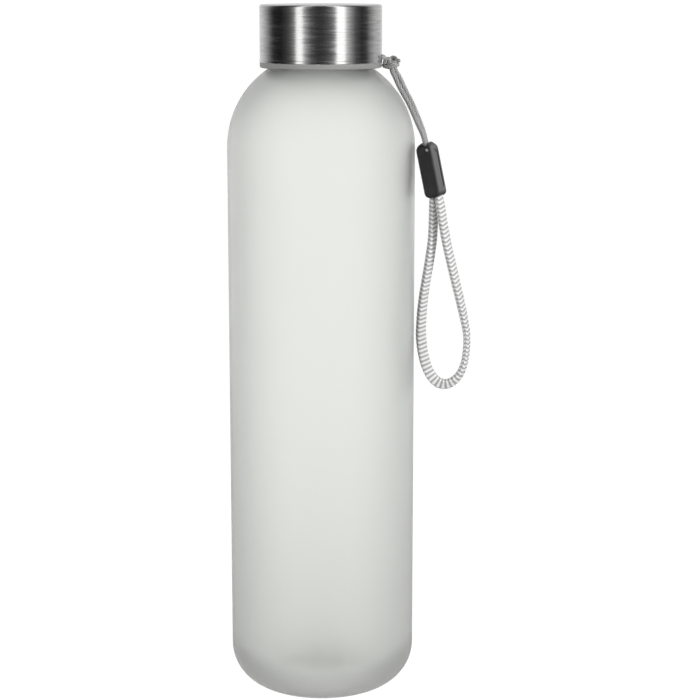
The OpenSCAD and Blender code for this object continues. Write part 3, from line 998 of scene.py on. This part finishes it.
def toggleSection(z, front):
    # one side of the joint, seen from above, anticlockwise
    half, topR, footR = toggle["length"] / 2, toggle["topRadius"], toggle["footRadius"]
    insetX = roundInset(half - z, topR) + roundInset(half + z, footR)
    insetY = roundInset(half - z, topR) * toggle["topDeep"] + roundInset(half + z, toggle["footDeep"])
    w, d = toggle["width"] / 2 - insetX, toggle["depth"] / 2 - insetY
    apart = toggle["apart"]
    r = min(toggle["edgeRadius"], d - apart, w - apart)
    share = min(1, max(0, (half - toggle["grooveShort"] - abs(z)) / toggle["grooveFade"]))
    deep, g = toggle["grooveDeep"] * share, toggle["groove"] / 2
    joint = min(toggle["jointY"], d - toggle["leastBack"])
    sign = -1 if front else 1
    outline = [(w - deep, apart), (w - deep, g * toggle["grooveSlope"]), (w, g)]
    outline = [(x, sign * min(sign * (joint + sign * y), d)) for x, y in outline]
    corner = [(w - r + r * math.cos(math.radians(a)), sign * (d - r + r * math.sin(math.radians(a))))
              for a in np.linspace(0, 90, 9)]
    if sign * outline[2][1] > sign * corner[0][1]:
        corner = [(x, sign * max(sign * y, sign * outline[2][1])) for x, y in corner]
    rightHalf = outline + corner
    return rightHalf + [(-x, y) for x, y in reversed(rightHalf)]


def toggleHalf(name, front):
    half, (top, topRings), (foot, footRings) = toggle["length"] / 2, toggle["topRings"], toggle["footRings"]
    heights = [-half + foot * (1 - math.sin(t)) for t in np.linspace(math.pi / 2, 0, footRings)]
    heights += list(np.linspace(-half + foot, half - top, toggle["sideRings"])[1:-1])
    heights += [half - top * (1 - math.sin(t)) for t in np.linspace(0, math.pi / 2, topRings)]
    points = [togglePlace @ Vector((x, y, z)) for z in heights for x, y in toggleSection(z, front)]
    faces = tubeFaces(len(heights), len(points) // len(heights))
    return outwards(meshPiece(name, points, faces, toggleFinish, 40))


def toggleCutters():
    half, beyond = toggle["length"] / 2, toggle["cutBeyond"]
    slotPlace = togglePlace @ Matrix.Rotation(math.radians(toggle["slotTurn"]), 4, "Z")
    w, d = toggle["slot"]
    slot = block("slot", (-w / 2, -d / 2, half - toggle["slotDeep"]), (w / 2, d / 2, half + beyond))
    slot.data.transform(slotPlace)
    w, d = toggle["pocket"]
    pocket = block("pocket", (-w / 2, -d / 2, -half - beyond), (w / 2, d / 2, toggle["pocketDeep"] - half))
    pocket.data.transform(togglePlace)
    reach, up = toggle["notchReach"], half + toggle["notchUp"]
    ends = [slotPlace @ Vector((0, y, up)) for y in (-reach, reach)]
    return [slot, pocket, rod("notch", *ends, toggle["notchRadius"] * mm)]


toggleFront = cut(toggleHalf("toggleFront", True), toggleCutters())
toggleBack = cut(toggleHalf("toggleBack", False), toggleCutters())
for piece, node in ((toggleFront, "toggle_front"), (toggleBack, "toggle_back")):
    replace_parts(piece, node)
    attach(piece, "strap")

toggleTip = cordStub("toggleTip", [toggleFront, toggleBack], tapeFinish)
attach(toggleTip, "strap")
print("toggle made")

# the studio

stage = {
    "floorSide": 60.0,
    "floorColour": (0.9, 0.9, 0.9, 1),
    "floorLevel": 1.1,  # how bright it shows
    "floorGlow": 0.92,  # the share of that which shadows leave
    "floorNear": 0.72,  # painted shadow on the floor round the bottle, as the glass shows it: its level beside the bottle
    "floorReach": 0.36,  # and how far off that painted shadow has faded to white
    "throughTop": 0.1,  # what it lets through from above
    "soft": 0.36,  # level of the world in front and behind
    "softLeft": 0.2,  # and to the sides
    "softRight": 0.4,
    "fill": 0.06,  # what unpolished things get from all round
    "throughAhead": 1.14,  # what the glass lets through from behind
    "throughSide": 0.9,  # and from the sides
    "bandLevel": 1.7,
}
bands = [  # what polished metal sees round the studio: direction in degrees from the front, level
    (-180, 0.5), (-143, 0.45), (-130, 0.34), (-121, 0.24), (-113, 0.13), (-106, 0.055), (-99, 0.015),
    (-80, 0.01), (-67, 0.035), (-59, 0.07), (-52, 0.16), (-48, 0.3), (-45.5, 1.0), (-35, 1.0), (-32, 0.4),
    (-26, 0.2), (-18, 0.07), (-6, 0.03), (5, 0.035), (16, 0.07), (24, 0.14), (29, 0.3), (32, 1.1),
    (46.5, 1.1), (49.5, 0.5), (59, 0.24), (69, 0.07), (84, 0.02), (97, 0.04), (109, 0.2), (125, 0.36),
    (180, 0.5)]


def makeWorld():
    world = bpy.data.worlds.new("studio")
    world.use_nodes = True
    world.node_tree.nodes.clear()
    tree = Tree(world.node_tree)
    ray = tree.node("ShaderNodeLightPath")
    way = tree.node("ShaderNodeSeparateXYZ", {}, {0: tree.node("ShaderNodeTexCoord")["Generated"]})
    azimuth = way["X"].maths("ARCTAN2", way["Y"] * -1) / (2 * math.pi) + 0.5
    stops = [((direction + 180) / 360, level) for direction, level in bands]
    band = tree.node("ShaderNodeValToRGB", {"stops": stops}, {0: azimuth})
    side = way["X"] * way["X"]
    left, right = stage["softLeft"], stage["softRight"]
    sideLevel = (left + right) / 2 + way["X"] * ((right - left) / 2)
    soft = stage["soft"] + (sideLevel - stage["soft"]) * side
    above = way["Z"].maths("MAXIMUM", 0.0)
    ahead = stage["throughAhead"]
    through = (ahead + (stage["throughSide"] - ahead) * side) * (1 + (stage["throughTop"] - 1) * above)
    glossy = tree.node("ShaderNodeRGBToBW", {}, {0: band[0]})[0] * stage["bandLevel"]
    level = soft + (glossy - soft) * ray["Is Glossy Ray"]
    level = level + (stage["fill"] - level) * ray["Is Diffuse Ray"]
    level = level + (through - level) * ray["Is Transmission Ray"]
    level = level + (1 - level) * ray["Is Camera Ray"]
    background = tree.node("ShaderNodeBackground", {}, {"Color": (1, 1, 1, 1), "Strength": level})[0]
    tree.node("ShaderNodeOutputWorld", {}, {"Surface": background})
    bpy.context.scene.world = world


def makeFloor():
    tree = newMaterial("paleFloor")
    ray = tree.node("ShaderNodeLightPath")
    seen = (ray["Is Camera Ray"] + ray["Is Transmission Ray"]).maths("MINIMUM", 1.0) * stage["floorGlow"]
    plain = tree.node("ShaderNodeBsdfDiffuse", {}, {"Color": stage["floorColour"]})[0]
    away = tree.node("ShaderNodeVectorMath", {"operation": "LENGTH"}, {0: tree.place()})["Value"]
    # the floor that the glass shows is painted darker near the bottle, a painted shadow that fades to white
    # further off
    near, shown = stage["floorNear"], stage["floorLevel"]
    through = (near + away * ((1 - near) / stage["floorReach"])).maths("MINIMUM", 1.0)
    level = shown + (through - shown) * ray["Is Transmission Ray"]
    glow = tree.node("ShaderNodeEmission", {}, {"Color": (1, 1, 1, 1), "Strength": level})[0]
    material = finished(tree, tree.node("ShaderNodeMixShader", {}, (seen, plain, glow))[0])
    half = stage["floorSide"] / 2
    corners = [(-half, -half, 0), (half, -half, 0), (half, half, 0), (-half, half, 0)]
    floor = meshPiece("floor", corners, [(0, 1, 2, 3)], material)
    floor.visible_glossy = False


lamps = {  # place, aim, width and height, watts, if gloss shows it, and what it lights if that isn't all
    "frontBox": ((0.1, -1.5, 1.3), (0, 0, 0.12), (1.0, 0.8), 9, False, ()),
    "lipBox": ((-1.35, -1.1, 0.45), (0, 0, 0.22), (0.5, 0.8), 18, False, (screwInsert,)),
    "strapBox": ((-0.72, -1.6, 0.5), (0.04, 0, 0.14), (0.5, 0.8), 15, False, (knitLoop, toggleTip)),
    "keyBox": ((0.98, -0.6, 0.5), (0.03, 0, 0.16), (0.25, 0.4), 11, False, ()),
    "rimLeft": ((-1.06, 1.06, 0.1), (0, 0, 0.12), (1.2, 0.5), 2.2, True, (glassBody,)),
    "rimRight": ((1.06, 1.06, 0.1), (0, 0, 0.12), (1.2, 0.5), 3.4, True, (glassBody,)),
    "toggleGloss": ((0.8, -0.1, 0.6), (0.036, 0, 0.185), (0.9, 1.1), 13, True, (toggleFront, toggleBack)),
}


def softbox(name, place, aim, size, power, glossy, only):
    data = bpy.data.lights.new(name, "AREA")
    data.shape = "RECTANGLE"
    (data.size, data.size_y), data.energy = size, power
    lamp = placed(name, data)
    lamp.location = place
    lamp.rotation_euler = (Vector(aim) - Vector(place)).to_track_quat("-Z", "Y").to_euler()
    lamp.visible_glossy, lamp.visible_transmission = glossy, False
    if only:
        lamp.light_linking.receiver_collection = bpy.data.collections.new(name + "Pieces")
        for piece in only:
            lamp.light_linking.receiver_collection.objects.link(piece)


makeWorld()
makeFloor()
for name, lamp in lamps.items():
    softbox(name, *lamp)
bpy.context.scene.view_settings.view_transform = "Standard"
print("stage made")


# how far what shows stands from the image points


def imagePlace(point):
    # where a point of the frame shows in the image
    w, h = camera["width"], camera["height"]
    long = max(w, h)
    data = cameraObject.data
    local = cameraObject.matrix_world.inverted() @ Vector(point)
    scale = -long * data.lens / data.sensor_width / local.z
    return local.x * scale + w / 2 - data.shift_x * long, h / 2 - local.y * scale + data.shift_y * long


closeBy = 0.2 * mm  # what hides a vertex stands at least this far before it


def showing(piece, blockers):
    # image places of the vertices that nothing hides
    eye = cameraObject.matrix_world.translation
    places = []
    for vertex in piece.data.vertices:
        way = vertex.co - eye
        hit = blockers.ray_cast(eye, way.normalized())[0]
        if hit is None or (hit - eye).length > way.length - closeBy:
            places.append(imagePlace(vertex.co))
    return np.array(places)


def writePoints():
    every = [glassBody, steelShell, screwInsert, toggleFront, toggleBack, toggleTip, knitLoop, holeCord]
    every += knotPieces + strands
    blockers = surfaceOf(every)
    seen = {piece.name: showing(piece, blockers) for piece in every}

    def together(*names):
        return np.vstack([seen[name] for name in names])

    def middleOf(*names):
        places = together(*names)
        return tuple((places.min(0) + places.max(0)) / 2)

    def first(places, axis):
        return tuple(places[places[:, axis].argmin()])

    def last(places, axis):
        return tuple(places[places[:, axis].argmax()])

    def lowestAt(point, places):
        x = imagePoints[point][0]
        return x, places[np.abs(places[:, 0] - x) < 4, 1].max()

    bottle = together("glassBody", "steelShell", "screwInsert")
    shells, loop = together("toggleFront", "toggleBack"), seen["knitLoop"]
    found = {
        "bottleLeft": (bottle[:, 0].min(), None),
        "bottleRight": (bottle[:, 0].max(), None),
        "capTop": (None, bottle[:, 1].min()),
        "baseBottom": (None, bottle[:, 1].max()),
        "steelLowerEdge": lowestAt("steelLowerEdge", seen["steelShell"]),
        "lipLowerEdge": lowestAt("lipLowerEdge", seen["screwInsert"]),
        "knot": middleOf(*[piece.name for piece in knotPieces]),
        **{name: middleOf(name) for name in stubs},
        "toggleTop": first(shells, 1),
        "toggleFoot": last(shells, 1),
        "toggleLeft": first(shells, 0),
        "toggleRight": last(shells, 0),
        "loopLeft": first(loop, 0),
        "loopRight": last(loop, 0),
        "loopFoot": last(loop, 1),
    }
    off = {name: [None if want is None else round(float(got - want), 1)
                  for want, got in zip(imagePoints[name], found[name])] for name in imagePoints}


writePoints()
